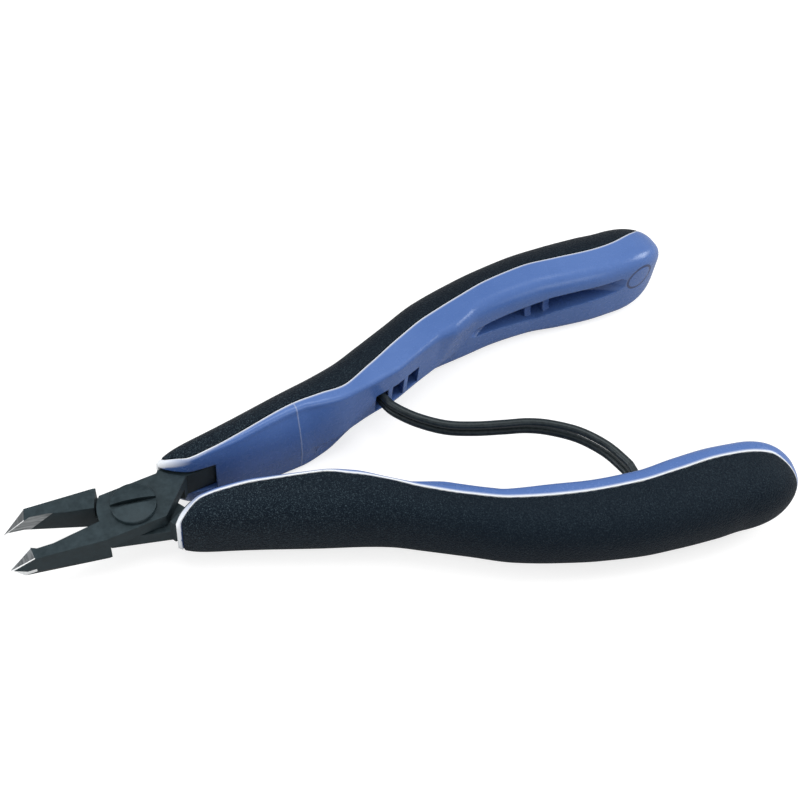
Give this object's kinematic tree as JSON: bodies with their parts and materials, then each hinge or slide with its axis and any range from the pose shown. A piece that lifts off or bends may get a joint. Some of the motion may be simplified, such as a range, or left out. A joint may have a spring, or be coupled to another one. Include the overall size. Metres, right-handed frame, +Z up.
{
  "type": "flush cutter",
  "caption": "Hand-held flush cutter with oblique ground tips, a screwed lap joint, moulded handles with soft outer grips and a wire return spring.",
  "frame": {"origin": "on the pivot axis, at the flat underside of the head", "axes": "+X from the jaws' side to the handles' ends, +Z up along the pivot axis, +Y to the handle at the back of the picture"},
  "size_m": [0.1453, 0.073, 0.0164],
  "materials": {
    "black_steel": "blackened, satin, with bright ground edges",
    "blue_moulding": "satin lavender blue",
    "black_grip": "matt black, fine grain",
    "black_wire": "blackened, satin"
  },
  "bodies": {
    "front_half": {"lower_head_half": "black_steel", "pivot_screw": "black_steel", "front_handle": "blue_moulding", "front_grip": "black_grip"},
    "rear_half": {"upper_head_half": "black_steel", "rear_handle": "blue_moulding", "rear_grip": "black_grip", "return_spring": "black_wire"}
  },
  "joints": [
    {"name": "pivot", "type": "hinge", "parent": "front_half", "child": "rear_half", "pos_m": [0, 0, 0], "axis": [0, 0, 1], "range_deg": [-16.6, 2], "stiffness_Nm_per_rad": 1.2, "deforming": ["return_spring"]}
  ]
}
